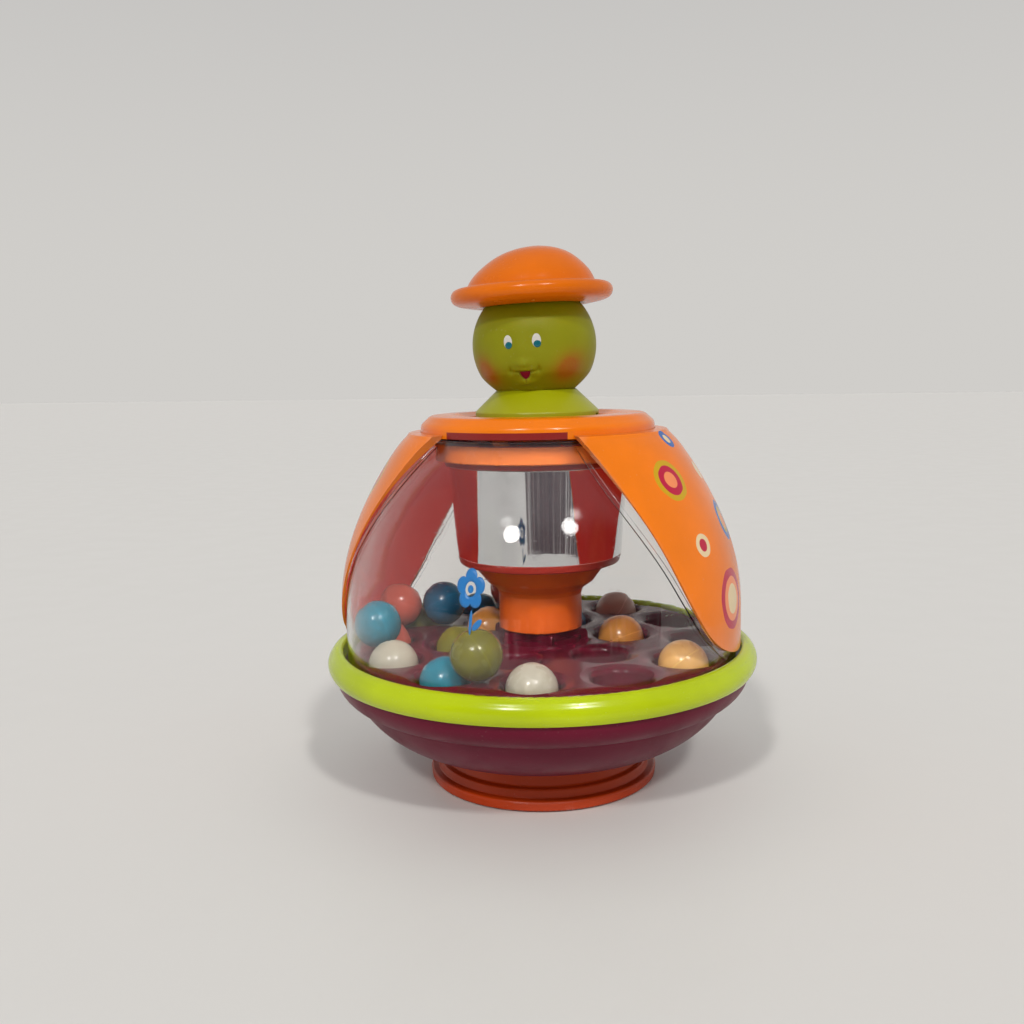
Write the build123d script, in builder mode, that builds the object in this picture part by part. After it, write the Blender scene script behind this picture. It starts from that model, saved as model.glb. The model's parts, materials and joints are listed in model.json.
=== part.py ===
"""Push-and-spin ball popper: a domed spinning top worked by a doll-headed plunger.

Millimetres. The origin is the centre of the foot's underside, +Z runs up the spin
axis and the doll faces -Y. Outlines of turned pieces are lists of corners, each
(radius, height) or (radius, height, rounding).
"""

from build123d import *
import math
import os

os.makedirs("parts", exist_ok=True)

# ---- driving dimensions ----------------------------------------------------

# Foot and bowl
FOOT_RADIUS = 54.5
FOOT_TOP = 18.0
FLOOR_GAP = 0.6  # the rubber ring lifts the foot this far off the table
BOWL_WALL = 2.4
BOWL_FLOOR_TOP = FOOT_TOP + BOWL_WALL

# Rim ring and dome
RIM_RADIUS = 101.5
RIM_BOTTOM = 54.5
RIM_TOP = 66.0
DOME_FLANGE_BOTTOM = 57.0
DOME_FLANGE_TOP = 59.0
DOME_ARC_CENTRE = (-9.2, 85.0)  # (radius, height) of the dome section's arc centre
DOME_ARC_RADIUS = 101.4
DOME_WALL = 2.0
DOME_TOP = 164.3

# Wings
WING_TIP = 66.4
WING_TOP = 166.0
LINING_GAP = 0.05
LINING_THICKNESS = 0.4
WING_MEAN_RADIUS = 84.0
WEDGE_NEAR = 15.0  # the wedges that trim the wings run between these two distances along X
WEDGE_FAR = 125.0
# (height, degrees from the X axis) along the edge of a wing, above its tip
WING_EDGE = [
    (68.2, 9.0),
    (76.4, 20.8),
    (89.0, 28.4),
    (105.0, 34.2),
    (122.0, 39.0),
    (138.0, 44.3),
    (153.0, 50.4),
    (168.0, 58.6),
]
RIB_TIP = 60.0
# The same along the middle of the raised rib outside each wing
RIB_EDGE = [
    (66.0, 12.5),
    (77.6, 23.0),
    (89.0, 29.6),
    (99.0, 33.8),
    (110.0, 37.8),
    (128.0, 44.8),
    (140.0, 49.6),
    (155.0, 55.0),
    (168.0, 58.4),
]
RIB_HALF_WIDTH = 1.2
RIB_HEIGHT = 0.9

# Collar, ceiling and mirror cup
COLLAR_RADIUS = 54.6
COLLAR_TOP = 173.5
COLLAR_OPENING = 33.6
CEILING_RADIUS = 48.0
CEILING_BOTTOM = 152.5
CEILING_TOP = 160.5
POST_CIRCLE = 40.0
POST_TOP = 167.0
POST_ANGLES = (-6.4, 113.6, 233.6)  # degrees from the front, towards +X
CUP_TOP_RADIUS = 42.0
CUP_BOTTOM_RADIUS = 38.7
CUP_BOTTOM = 102.5

# Plunger
NECK_RADIUS = 28.8
NECK_TOP_RADIUS = 18.4
NECK_LIP = 174.6
NECK_TOP = 184.6
SKIRT_BOTTOM = 142.0
SLEEVE_TOP = 170.5
SLEEVE_BOTTOM = 146.0
RUNNING_FIT = 0.06
TUBE_RADIUS = 9.6
TUBE_BORE = 7.4
NUT_BOTTOM = 121.0
NUT_TOP = 126.0
HEAD_RADIUS = 28.7
HEAD_CENTRE = 205.0
HEAD_TILT = 2.2  # degrees, towards -X, about the top of the neck
HAT_BRIM_RADIUS = 37.3
HAT_BRIM_HEIGHT = 228.3  # middle of the brim, before the tilt
HAT_TOP = 249.6

# Twist drive
ROD_SIDE = 6.4
ROD_BOTTOM = 72.0
ROD_TOP = 136.0
TWIST_LEAD = 36.0  # height for one whole turn of the twist
NUT_CLEARANCE = 0.2

# Spring
SPRING_RADIUS = 13.2
SPRING_WIRE = 0.75
SPRING_BOTTOM = 93.0
SPRING_TOP = 147.0
SPRING_TURNS = 8

# Popper disc
DISC_RADIUS = 89.8
DISC_EDGE_TOP = 64.6
DISC_TOP = 66.0
DISC_UNDERSIDE = 61.6
BOSS_RADIUS = 24.0
BOSS_TOP = 71.6
POCKET_RADIUS = 13.2
POCKET_FLOOR = 51.7
OUTER_POCKETS = (12, 74.5, 13.4)  # count, circle radius, angle of the first
INNER_POCKETS = (6, 40.0, -1.6)
DISH_RADIUS = 80.0  # shallow spherical dish round each pocket
DISH_DEPTH = 2.0
RATCHET_TEETH = 12

# Axle
PIN_RADIUS = 3.0
PIN_BOTTOM = 24.0
PIN_TOP = 68.0
POST_RADIUS = 8.0
BEARING_TOP = 57.5

# Balls
BALL_RADIUS = 11.0
BALL_IN_POCKET = 63.0
BALL_ON_TOP = 77.3

# Screws
SCREW_RADIUS = 1.28
SCREW_HEAD_RADIUS = 3.0
SCREW_HEAD_HEIGHT = 1.8
FOOT_SCREW_CIRCLE = 30.0
FOOT_SCREW_COUNT = 4
PLATE_SCREW_CIRCLE = 22.2
PLATE_SCREW_COUNT = 3


# ---- helpers ---------------------------------------------------------------


def save(part, label):
    """Label a finished piece and write it to its own file."""
    part.label = label
    export_step(part, f"parts/{label}.step")


def section(corners):
    """A closed sketch on the XZ plane from (radius, height[, rounding]) corners."""
    rounding = [corner[2] if len(corner) == 3 else 0 for corner in corners]
    with BuildSketch(Plane.XZ) as face:
        with BuildLine():
            FilletPolyline(*[corner[:2] for corner in corners], radius=rounding, close=True)
        make_face()
    return face.sketch


def turned(*corners, mode=Mode.ADD):
    """Revolve an outline about Z inside the piece being built."""
    revolve(section(corners), axis=Axis.Z, mode=mode)


def around(radius, angle, height=0.0):
    """A point at an angle from the front (-Y), turning towards +X."""
    turn = math.radians(angle)
    return (radius * math.sin(turn), -radius * math.cos(turn), height)


def ring_of(count, radius, first):
    """The points of an evenly spaced circle, starting at an angle from the front."""
    return [around(radius, first + 360.0 * step / count) for step in range(count)]


def column(x, y, bottom, top, radius, mode=Mode.ADD):
    """An upright cylinder between two heights."""
    with BuildSketch(Plane.XY.offset(bottom)) as disc:
        with Locations((x, y)):
            Circle(radius)
    extrude(disc.sketch, amount=top - bottom, mode=mode)


def dome_radius(height, offset=0.0):
    """Radius of the dome's outer surface, or of a surface offset from it."""
    rise = max(height - DOME_ARC_CENTRE[1], 0.0)
    return DOME_ARC_CENTRE[0] + math.sqrt((DOME_ARC_RADIUS + offset) ** 2 - rise**2)


def dome_shell(inner_offset, outer, bottom, top):
    """Revolve a band that follows the dome, from inner_offset out to the outer curve."""
    spring_line = DOME_ARC_CENTRE[1]
    middle = (spring_line + top) / 2
    inner_wall = dome_radius(bottom, inner_offset)
    inner_top = dome_radius(top, inner_offset)
    with BuildSketch(Plane.XZ) as face:
        with BuildLine():
            Line((inner_wall, bottom), (inner_wall, spring_line))
            ThreePointArc(
                (inner_wall, spring_line),
                (dome_radius(middle, inner_offset), middle),
                (inner_top, top),
            )
            outer_start, outer_end = outer()
            Line((inner_top, top), outer_end)
            Line(outer_start, (inner_wall, bottom))
        make_face()
    revolve(face.sketch, axis=Axis.Z)


def parallel_curve(offset, bottom, top):
    """The outer side of a band at a constant offset from the dome."""
    spring_line = DOME_ARC_CENTRE[1]
    middle = (spring_line + top) / 2
    wall = dome_radius(bottom, offset)
    end = (dome_radius(top, offset), top)
    Line((wall, bottom), (wall, spring_line))
    ThreePointArc((wall, spring_line), (dome_radius(middle, offset), middle), end)
    return (wall, bottom), end


def wing_wedge(tip, edge, grow=0.0):
    """A solid that fans out from the Z axis towards +X, wide enough to trim a wing or a rib.

    Its two sides run through the axis, so what it trims has walls square to the dome. Heights
    and angles of the edge are as in WING_EDGE; grow moves the edge outward, in millimetres.
    """
    spread = math.degrees(grow / WING_MEAN_RADIUS)
    heights = [tip - grow] + [height for height, _ in edge]
    slopes = [0.0] + [math.tan(math.radians(angle + spread)) for _, angle in edge]
    heights = heights[:0:-1] + heights
    slopes = [-slope for slope in slopes[:0:-1]] + slopes
    knots = [0.0]
    for step in range(1, len(heights)):
        across = WING_MEAN_RADIUS * (slopes[step] - slopes[step - 1])
        knots.append(knots[-1] + math.hypot(across, heights[step] - heights[step - 1]))
    knots = [knot / knots[-1] for knot in knots]
    ends = []
    for reach in (WEDGE_NEAR, WEDGE_FAR):
        points = [Vector(reach, reach * slope, z) for slope, z in zip(slopes, heights)]
        with BuildLine() as outline:
            add(Edge.make_spline(points, parameters=knots))
            Line(points[-1], points[0])
        ends.append(outline.wire())
    return Solid.make_loft(ends, ruled=True)


# ---- foot ------------------------------------------------------------------

with BuildPart() as foot_ring:
    turned(
        (0, 3.0),
        (40.0, 3.0),
        (40.0, FLOOR_GAP, 0.3),
        (41.9, FLOOR_GAP),
        (41.9, 2.2),
        (50.1, 2.2),
        (50.1, FLOOR_GAP),
        (FOOT_RADIUS - 0.6, FLOOR_GAP, 0.8),
        (FOOT_RADIUS, 5.2, 1.2),
        (50.9, 5.5, 0.3),
        (50.6, 6.1, 0.3),
        (49.9, 9.0, 1.0),
        (47.4, 9.6, 0.8),
        (45.2, FOOT_TOP),
        (42.6, FOOT_TOP),
        (45.0, 8.8, 0.8),
        (45.4, 5.4),
        (0, 5.4),
    )
    for x, y, _ in ring_of(FOOT_SCREW_COUNT, FOOT_SCREW_CIRCLE, 45):
        column(x, y, 3.0, FOOT_TOP, 4.2)
    for x, y, _ in ring_of(FOOT_SCREW_COUNT, FOOT_SCREW_CIRCLE, 45):
        column(x, y, 3.0, 5.2, SCREW_HEAD_RADIUS + 0.3, mode=Mode.SUBTRACT)
        column(x, y, 5.2, FOOT_TOP, SCREW_RADIUS + 0.1, mode=Mode.SUBTRACT)

save(foot_ring.part, "foot_ring")

with BuildPart() as grip_ring:
    turned((42.0, 0, 0.4), (50.0, 0, 0.4), (50.0, 2.2), (42.0, 2.2))

save(grip_ring.part, "grip_ring")

with BuildPart() as foot_screws:
    for x, y, _ in ring_of(FOOT_SCREW_COUNT, FOOT_SCREW_CIRCLE, 45):
        column(x, y, 5.2 - SCREW_HEAD_HEIGHT, 5.2, SCREW_HEAD_RADIUS)
        column(x, y, 5.2, 27.0, SCREW_RADIUS)

save(foot_screws.part, "foot_screws")

# ---- lower bowl ------------------------------------------------------------

with BuildPart() as lower_bowl:
    with BuildSketch(Plane.XZ):
        with BuildLine():
            Polyline((0, BOWL_FLOOR_TOP), (0, FOOT_TOP), (45.0, FOOT_TOP), (62.0, 20.4))
            ThreePointArc((62.0, 20.4), (79.0, 30.2), (88.0, 41.2))
            Polyline((88.0, 41.2), (88.6, 42.2))
            ThreePointArc((88.6, 42.2), (94.9, 46.4), (98.2, RIM_BOTTOM))
            Polyline(
                (98.2, RIM_BOTTOM),
                (97.6, RIM_BOTTOM),
                (97.6, DOME_FLANGE_BOTTOM),
                (94.6, DOME_FLANGE_BOTTOM),
                (94.6, 53.0),
            )
            ThreePointArc((94.6, 53.0), (92.3, 47.6), (87.0, 44.2))
            Line((87.0, 44.2), (85.9, 42.4))
            ThreePointArc((85.9, 42.4), (77.3, 32.1), (61.4, 22.8))
            Polyline((61.4, 22.8), (45.0, BOWL_FLOOR_TOP), (0, BOWL_FLOOR_TOP))
        make_face()
    revolve(axis=Axis.Z)
    column(0, 0, BOWL_FLOOR_TOP, 42.0, POST_RADIUS)
    for x, y, _ in ring_of(FOOT_SCREW_COUNT, FOOT_SCREW_CIRCLE, 45):
        column(x, y, BOWL_FLOOR_TOP, 28.5, 3.8)
    with PolarLocations(0, 8):
        with Locations((23.0, 0, BOWL_FLOOR_TOP)):
            Box(34.0, 2.0, 8.0, align=(Align.CENTER, Align.CENTER, Align.MIN))
    for x, y, _ in ring_of(FOOT_SCREW_COUNT, FOOT_SCREW_CIRCLE, 45):
        column(x, y, FOOT_TOP, 27.2, SCREW_RADIUS + 0.02, mode=Mode.SUBTRACT)
    column(0, 0, PIN_BOTTOM, 42.0, PIN_RADIUS, mode=Mode.SUBTRACT)

save(lower_bowl.part, "lower_bowl")

# ---- rim ring and dome -----------------------------------------------------

with BuildPart() as rim_ring:
    with BuildSketch(Plane.XZ):
        with BuildLine():
            Polyline(
                (97.7, RIM_BOTTOM),
                (98.9, RIM_BOTTOM),
                (100.0, RIM_BOTTOM + 0.5),
            )
            ThreePointArc((100.0, RIM_BOTTOM + 0.5), (RIM_RADIUS, 59.4), (99.9, 63.6))
            ThreePointArc((99.9, 63.6), (98.2, 65.4), (96.2, RIM_TOP))
            ThreePointArc((96.2, RIM_TOP), (94.7, 65.6), (94.2, 64.4))
            Polyline(
                (94.2, 64.4),
                (94.2, DOME_FLANGE_TOP),
                (97.7, DOME_FLANGE_TOP),
                (97.7, RIM_BOTTOM),
            )
        make_face()
    revolve(axis=Axis.Z)

save(rim_ring.part, "rim_ring")

with BuildPart() as dome:
    dome_shell(
        -DOME_WALL,
        lambda: parallel_curve(0.0, DOME_FLANGE_BOTTOM, DOME_TOP),
        DOME_FLANGE_BOTTOM,
        DOME_TOP,
    )
    turned(
        (dome_radius(DOME_FLANGE_BOTTOM, -DOME_WALL), DOME_FLANGE_BOTTOM),
        (97.5, DOME_FLANGE_BOTTOM, 0.4),
        (97.5, DOME_FLANGE_TOP, 0.4),
        (dome_radius(DOME_FLANGE_TOP, -DOME_WALL), DOME_FLANGE_TOP),
    )
    turned(
        (45.0, DOME_TOP - 2.2),
        (dome_radius(DOME_TOP) - 1.0, DOME_TOP - 2.2),
        (dome_radius(DOME_TOP) - 1.0, DOME_TOP),
        (45.0, DOME_TOP),
    )

with BuildPart() as rib_band:
    dome_shell(
        -1.0,
        lambda: parallel_curve(RIB_HEIGHT, WING_TIP, DOME_TOP - 3.0),
        WING_TIP,
        DOME_TOP - 3.0,
    )

with BuildPart() as right_rib:
    add(rib_band.part)
    add(wing_wedge(RIB_TIP, RIB_EDGE, RIB_HALF_WIDTH), mode=Mode.INTERSECT)
    add(wing_wedge(RIB_TIP, RIB_EDGE, -RIB_HALF_WIDTH), mode=Mode.SUBTRACT)

with BuildPart() as ribbed_dome:
    add(dome.part)
    add(right_rib.part)
    add(mirror(right_rib.part, about=Plane.YZ))

save(ribbed_dome.part, "dome")

# ---- wings and their linings -----------------------------------------------


def wing_curve():
    """The outer side of a wing, standing prouder of the dome towards its top."""
    start = (94.05, WING_TIP - 1.0)
    spring = (94.05, 84.0)
    end = (61.2, 164.2)
    Line(start, spring)
    Spline(spring, (90.5, 110.4), (81.5, 133.5), (67.9, 156.4), end, tangents=[(0, 1), (-1.1, 1)])
    Line(end, (60.2, WING_TOP - 0.4))
    Line((60.2, WING_TOP - 0.4), (COLLAR_RADIUS + 0.2, WING_TOP))
    Line((COLLAR_RADIUS + 0.2, WING_TOP), (COLLAR_RADIUS + 0.2, DOME_TOP))
    return start, (COLLAR_RADIUS + 0.2, DOME_TOP)


with BuildPart() as wing_band:
    dome_shell(
        LINING_GAP + LINING_THICKNESS + 0.05,
        wing_curve,
        WING_TIP - 1.0,
        DOME_TOP - 1.5,
    )

with BuildPart() as lining_band:
    dome_shell(
        LINING_GAP,
        lambda: parallel_curve(LINING_GAP + LINING_THICKNESS, WING_TIP, DOME_TOP - 3.0),
        WING_TIP,
        DOME_TOP - 3.0,
    )

with BuildPart() as wing:
    add(wing_band.part)
    add(wing_wedge(WING_TIP, WING_EDGE), mode=Mode.INTERSECT)

with BuildPart() as wing_lining:
    add(lining_band.part)
    add(wing_wedge(WING_TIP, WING_EDGE, -1.0), mode=Mode.INTERSECT)

save(wing.part, "wing_right")
save(mirror(wing.part, about=Plane.YZ), "wing_left")
save(wing_lining.part, "wing_lining_right")
save(mirror(wing_lining.part, about=Plane.YZ), "wing_lining_left")

# ---- collar, ceiling ring and mirror cup -----------------------------------

with BuildPart() as top_collar:
    turned(
        (53.0, DOME_TOP),
        (COLLAR_RADIUS, DOME_TOP, 0.4),
        (COLLAR_RADIUS - 0.1, 169.2, 3.2),
        (50.0, COLLAR_TOP - 0.2, 3.4),
        (40.0, COLLAR_TOP, 0.6),
        (COLLAR_OPENING, 171.8, 0.6),
        (COLLAR_OPENING, 162.0),
        (COLLAR_OPENING + 2.0, 162.0),
        (COLLAR_OPENING + 2.0, 169.6, 1.0),
        (49.0, 171.2, 2.0),
        (53.0, 167.4, 1.0),
    )
    for angle in POST_ANGLES:
        x, y, _ = around(POST_CIRCLE, angle)
        column(x, y, POST_TOP, 171.4, 3.4)
        column(x, y, POST_TOP, 170.6, SCREW_RADIUS + 0.02, mode=Mode.SUBTRACT)

save(top_collar.part, "top_collar")

with BuildPart() as ceiling_ring:
    turned(
        (35.5, CEILING_BOTTOM),
        (CEILING_RADIUS, CEILING_BOTTOM, 0.8),
        (CEILING_RADIUS, CEILING_TOP, 0.8),
        (35.5, CEILING_TOP),
    )
    for angle in POST_ANGLES:
        x, y, _ = around(POST_CIRCLE, angle)
        column(x, y, CEILING_TOP - 1.0, POST_TOP, 3.6)
    for angle in POST_ANGLES:
        x, y, _ = around(POST_CIRCLE, angle)
        column(x, y, CEILING_BOTTOM, POST_TOP, SCREW_RADIUS + 0.1, mode=Mode.SUBTRACT)
        column(x, y, CEILING_BOTTOM, 155.0, SCREW_HEAD_RADIUS + 0.3, mode=Mode.SUBTRACT)

save(ceiling_ring.part, "ceiling_ring")

with BuildPart() as collar_screws:
    for angle in POST_ANGLES:
        x, y, _ = around(POST_CIRCLE, angle)
        column(x, y, 155.0 - SCREW_HEAD_HEIGHT, 155.0, SCREW_HEAD_RADIUS)
        column(x, y, 155.0, 170.4, SCREW_RADIUS)

save(collar_screws.part, "collar_screws")

with BuildPart() as mirror_cup:
    turned(
        (39.2, CEILING_BOTTOM),
        (43.6, CEILING_BOTTOM, 0.5),
        (43.6, 150.2, 0.5),
        (CUP_TOP_RADIUS, 149.6, 0.4),
        (CUP_BOTTOM_RADIUS, 107.0, 1.0),
        (37.6, 103.6, 1.4),
        (31.5, CUP_BOTTOM, 0.6),
        (31.5, CUP_BOTTOM + 1.8),
        (36.4, 105.2, 0.6),
        (37.1, 107.6, 0.6),
        (40.2, 148.6, 0.4),
    )

save(mirror_cup.part, "mirror_cup")

with BuildPart() as drive_funnel:
    turned(
        (29.3, 105.8),
        (34.0, 105.8),
        (34.0, 104.9),
        (31.4, 104.35),
        (31.4, 102.2, 0.6),
        (25.7, 95.0, 1.0),
        (20.6, 91.0, 1.5),
        (19.6, 88.5, 1.0),
        (19.6, ROD_BOTTOM, 0.5),
        (17.6, ROD_BOTTOM, 0.5),
        (17.6, 90.5),
        (11.0, 90.5),
        (11.0, SPRING_BOTTOM),
        (22.6, SPRING_BOTTOM),
        (24.4, 96.0),
        (29.3, 102.4),
    )

save(drive_funnel.part, "drive_funnel")

with BuildPart() as guide_sleeve:
    turned(
        (NECK_RADIUS + RUNNING_FIT, SLEEVE_BOTTOM),
        (33.4, SLEEVE_BOTTOM, 0.5),
        (33.4, 150.6),
        (39.0, 150.6),
        (39.0, CEILING_BOTTOM - 0.05),
        (33.4, CEILING_BOTTOM - 0.05),
        (33.4, SLEEVE_TOP, 0.5),
        (NECK_RADIUS + RUNNING_FIT, SLEEVE_TOP, 0.5),
    )
    for side_sign in (-1, 1):
        with Locations((side_sign * (NECK_RADIUS + 0.2), 0, SLEEVE_BOTTOM)):
            Box(2.0, 4.0, 3.0, align=(Align.CENTER, Align.CENTER, Align.MIN))

save(guide_sleeve.part, "guide_sleeve")

# ---- plunger ---------------------------------------------------------------

with BuildPart() as neck_cone:
    turned(
        (26.4, SKIRT_BOTTOM),
        (NECK_RADIUS, SKIRT_BOTTOM, 0.4),
        (NECK_RADIUS, NECK_LIP, 0.9),
        (NECK_TOP_RADIUS, NECK_TOP, 0.6),
        (1.6, NECK_TOP),
        (1.6, NECK_TOP - 2.2),
        (NECK_TOP_RADIUS - 1.4, NECK_TOP - 2.2, 1.0),
        (26.4, 173.6, 1.0),
    )
    for side_sign in (-1, 1):
        with Locations((side_sign * NECK_RADIUS, 0, SKIRT_BOTTOM)):
            slot_height = SLEEVE_BOTTOM - SKIRT_BOTTOM + 3.4 + 24.0
            Box(
                2.6,
                4.7,
                slot_height,
                align=(Align.CENTER, Align.CENTER, Align.MIN),
                mode=Mode.SUBTRACT,
            )

save(neck_cone.part, "neck_cone")

with BuildPart() as stop_ring:
    turned(
        (NECK_RADIUS, 143.4),
        (31.0, 143.4, 0.4),
        (31.0, SLEEVE_BOTTOM - 0.1, 0.4),
        (NECK_RADIUS, SLEEVE_BOTTOM - 0.1),
    )

save(stop_ring.part, "stop_ring")

with BuildPart() as plunger_tube:
    turned(
        (TUBE_BORE, NUT_TOP),
        (TUBE_RADIUS, NUT_TOP),
        (TUBE_RADIUS, SPRING_TOP),
        (16.4, SPRING_TOP, 0.4),
        (16.4, SPRING_TOP + 2.4, 0.4),
        (TUBE_RADIUS, SPRING_TOP + 2.4, 1.0),
        (TUBE_RADIUS, NECK_TOP - 2.2),
        (1.55, NECK_TOP - 2.2),
        (1.55, 172.0),
        (TUBE_BORE, 172.0),
    )

save(plunger_tube.part, "plunger_tube")

with BuildPart() as head_screw:
    column(0, 0, 173.0, NECK_TOP, 1.5)
    column(0, 0, NECK_TOP, NECK_TOP + 2.2, 3.4)

save(head_screw.part, "head_screw")


def twisted_bar(side, bottom, top):
    """A square bar twisted about Z, whose corners pass +X and +Y at height zero."""
    turn = 360.0 * (top - bottom) / TWIST_LEAD
    start = 360.0 * bottom / TWIST_LEAD
    with BuildSketch(Plane.XY.offset(bottom), mode=Mode.PRIVATE) as square:
        Rectangle(side, side, rotation=start)
    return Solid.extrude_linear_with_rotation(
        square.sketch.faces()[0], (0, 0, bottom), (0, 0, top - bottom), turn
    )


with BuildPart() as drive_nut:
    column(0, 0, NUT_BOTTOM, NUT_TOP, TUBE_RADIUS)
    add(
        twisted_bar(ROD_SIDE + 2 * NUT_CLEARANCE, NUT_BOTTOM - 1, NUT_TOP + 1),
        mode=Mode.SUBTRACT,
    )

save(drive_nut.part, "drive_nut")

with BuildPart() as return_spring:
    with BuildLine(Plane.XY.offset(SPRING_BOTTOM + SPRING_WIRE)) as coil:
        Helix(
            pitch=(SPRING_TOP - SPRING_BOTTOM - 2 * SPRING_WIRE) / SPRING_TURNS,
            height=SPRING_TOP - SPRING_BOTTOM - 2 * SPRING_WIRE,
            radius=SPRING_RADIUS,
        )
    with BuildSketch(Plane(origin=coil.line @ 0, z_dir=coil.line % 0)) as wire:
        Circle(SPRING_WIRE)
    sweep(wire.sketch, path=coil.line, is_frenet=True)

save(return_spring.part, "return_spring")

with BuildPart(Plane.XY.offset(NECK_TOP).rotated((0, -HEAD_TILT, 0))) as head:
    with Locations((0, 0, HEAD_CENTRE - NECK_TOP)):
        Sphere(HEAD_RADIUS)
        Sphere(HEAD_RADIUS - 2.4, mode=Mode.SUBTRACT)
    with BuildSketch() as seat:
        Circle(60.0)
    extrude(amount=-40.0, mode=Mode.SUBTRACT)
    with BuildSketch(Plane.XY.offset(NECK_TOP)) as seat_plate:
        Circle(NECK_TOP_RADIUS + 0.4)
        Circle(4.0, mode=Mode.SUBTRACT)
    extrude(seat_plate.sketch, amount=4.0)
    with BuildSketch(Plane.XY.offset(NECK_TOP)) as below_neck:
        Circle(60.0)
    extrude(below_neck.sketch, amount=-20.0, mode=Mode.SUBTRACT)

save(head.part, "head")

tilt_plane = Plane.XY.offset(NECK_TOP).rotated((0, -HEAD_TILT, 0))
brim_z = HAT_BRIM_HEIGHT - NECK_TOP
crown_top = HAT_TOP - NECK_TOP

with BuildPart() as upright_hat:
    turned(
        (0, brim_z - 2.0),
        (30.5, brim_z - 2.0, 2.0),
        (35.0, brim_z - 3.3, 1.6),
        (HAT_BRIM_RADIUS, brim_z - 1.2, 1.2),
        (HAT_BRIM_RADIUS - 0.2, brim_z + 1.6, 1.4),
        (34.2, brim_z + 3.3, 1.6),
        (30.4, brim_z + 2.6, 1.2),
        (28.0, brim_z + 8.0, 6.0),
        (20.0, brim_z + 15.4, 8.0),
        (9.0, crown_top - 0.8, 8.0),
        (0, crown_top),
    )
    with Locations((0, 0, HEAD_CENTRE - NECK_TOP)):
        Sphere(HEAD_RADIUS, mode=Mode.SUBTRACT)

with BuildPart() as hat:
    add(tilt_plane.from_local_coords(upright_hat.part))

save(hat.part, "hat")

# ---- axle and twist drive --------------------------------------------------

with BuildPart() as axle_pin:
    column(0, 0, PIN_BOTTOM, PIN_TOP, PIN_RADIUS)
    chamfer(axle_pin.edges().filter_by(GeomType.CIRCLE), 0.4)

save(axle_pin.part, "axle_pin")

with BuildPart() as thrust_washer:
    column(0, 0, 42.0, 44.2, POST_RADIUS)
    column(0, 0, 42.0, 44.2, PIN_RADIUS + 0.05, mode=Mode.SUBTRACT)

save(thrust_washer.part, "thrust_washer")

with BuildPart() as twist_rod:
    add(twisted_bar(ROD_SIDE, ROD_BOTTOM, ROD_TOP))

save(twist_rod.part, "twist_rod")

with BuildPart() as pawl_carrier:
    column(0, 0, 58.5, ROD_BOTTOM, 7.0)
    with PolarLocations(0, 3):
        with Locations((7.0, 5.4, 60.5)):
            Box(12.0, 2.0, 5.0, align=(Align.CENTER, Align.CENTER, Align.MIN))
    with BuildSketch(Plane.XY.offset(58.0)) as reach_limit:
        Circle(40.0)
        Circle(15.6, mode=Mode.SUBTRACT)
    extrude(reach_limit.sketch, amount=20.0, mode=Mode.SUBTRACT)
    column(0, 0, 58.5, 69.0, PIN_RADIUS + RUNNING_FIT, mode=Mode.SUBTRACT)

save(pawl_carrier.part, "pawl_carrier")

# ---- popper disc and its bearing -------------------------------------------

pockets = [point[:2] for point in ring_of(*OUTER_POCKETS) + ring_of(*INNER_POCKETS)]


def dish_height(distance):
    """Height of the shallow dish at a distance from its pocket's centre."""
    return DISC_TOP - DISH_DEPTH + DISH_RADIUS - math.sqrt(DISH_RADIUS**2 - distance**2)


with BuildPart() as pocket_cutter:
    with BuildSketch(Plane.XZ):
        with BuildLine():
            Polyline((0, 80.0), (0, POCKET_FLOOR), (5.6, POCKET_FLOOR))
            ThreePointArc((5.6, POCKET_FLOOR), (10.4, 55.4), (12.4, 60.0))
            Line((12.4, 60.0), (12.8, 62.4))
            ThreePointArc((12.8, 62.4), (13.4, 64.3), (15.2, dish_height(15.2)))
            ThreePointArc(
                (15.2, dish_height(15.2)), (19.0, dish_height(19.0)), (23.0, dish_height(23.0))
            )
            Polyline((23.0, dish_height(23.0)), (23.0, 80.0), (0, 80.0))
        make_face()
    revolve(axis=Axis.Z)

with BuildPart() as popper_disc:
    turned(
        (0, DISC_UNDERSIDE),
        (DISC_RADIUS - 2.0, DISC_UNDERSIDE),
        (DISC_RADIUS - 2.0, 59.0),
        (DISC_RADIUS, 59.0),
        (DISC_RADIUS, DISC_EDGE_TOP, 1.6),
        (DISC_RADIUS - 4.0, DISC_TOP, 3.0),
        (BOSS_RADIUS + 0.6, DISC_TOP, 1.0),
        (BOSS_RADIUS - 1.6, BOSS_TOP, 1.2),
        (0, BOSS_TOP),
    )
    column(0, 0, BEARING_TOP, DISC_UNDERSIDE, BOSS_RADIUS)
    for x, y in pockets:
        column(x, y, POCKET_FLOOR - 1.8, DISC_UNDERSIDE + 0.5, POCKET_RADIUS + 1.6)
    with Locations(*pockets):
        add(pocket_cutter.part, mode=Mode.SUBTRACT)
    column(0, 0, BEARING_TOP, 69.0, 20.6, mode=Mode.SUBTRACT)
    column(0, 0, 69.0, BOSS_TOP + 1.0, 7.8, mode=Mode.SUBTRACT)
    for x, y, _ in ring_of(PLATE_SCREW_COUNT, PLATE_SCREW_CIRCLE, 26):
        column(x, y, BEARING_TOP, 66.0, 1.1, mode=Mode.SUBTRACT)

save(popper_disc.part, "popper_disc")

with BuildPart() as ratchet_ring:
    column(0, 0, BEARING_TOP + 0.1, 68.9, 20.5)
    column(0, 0, BEARING_TOP, 69.0, 16.8, mode=Mode.SUBTRACT)
    with BuildSketch(Plane.XY.offset(BEARING_TOP)) as teeth:
        with PolarLocations(0, RATCHET_TEETH):
            Polygon((16.0, 0), (18.8, 0.4), (16.2, 7.2), align=None)
    extrude(teeth.sketch, amount=12.0, mode=Mode.SUBTRACT)

save(ratchet_ring.part, "ratchet_ring")

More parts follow.
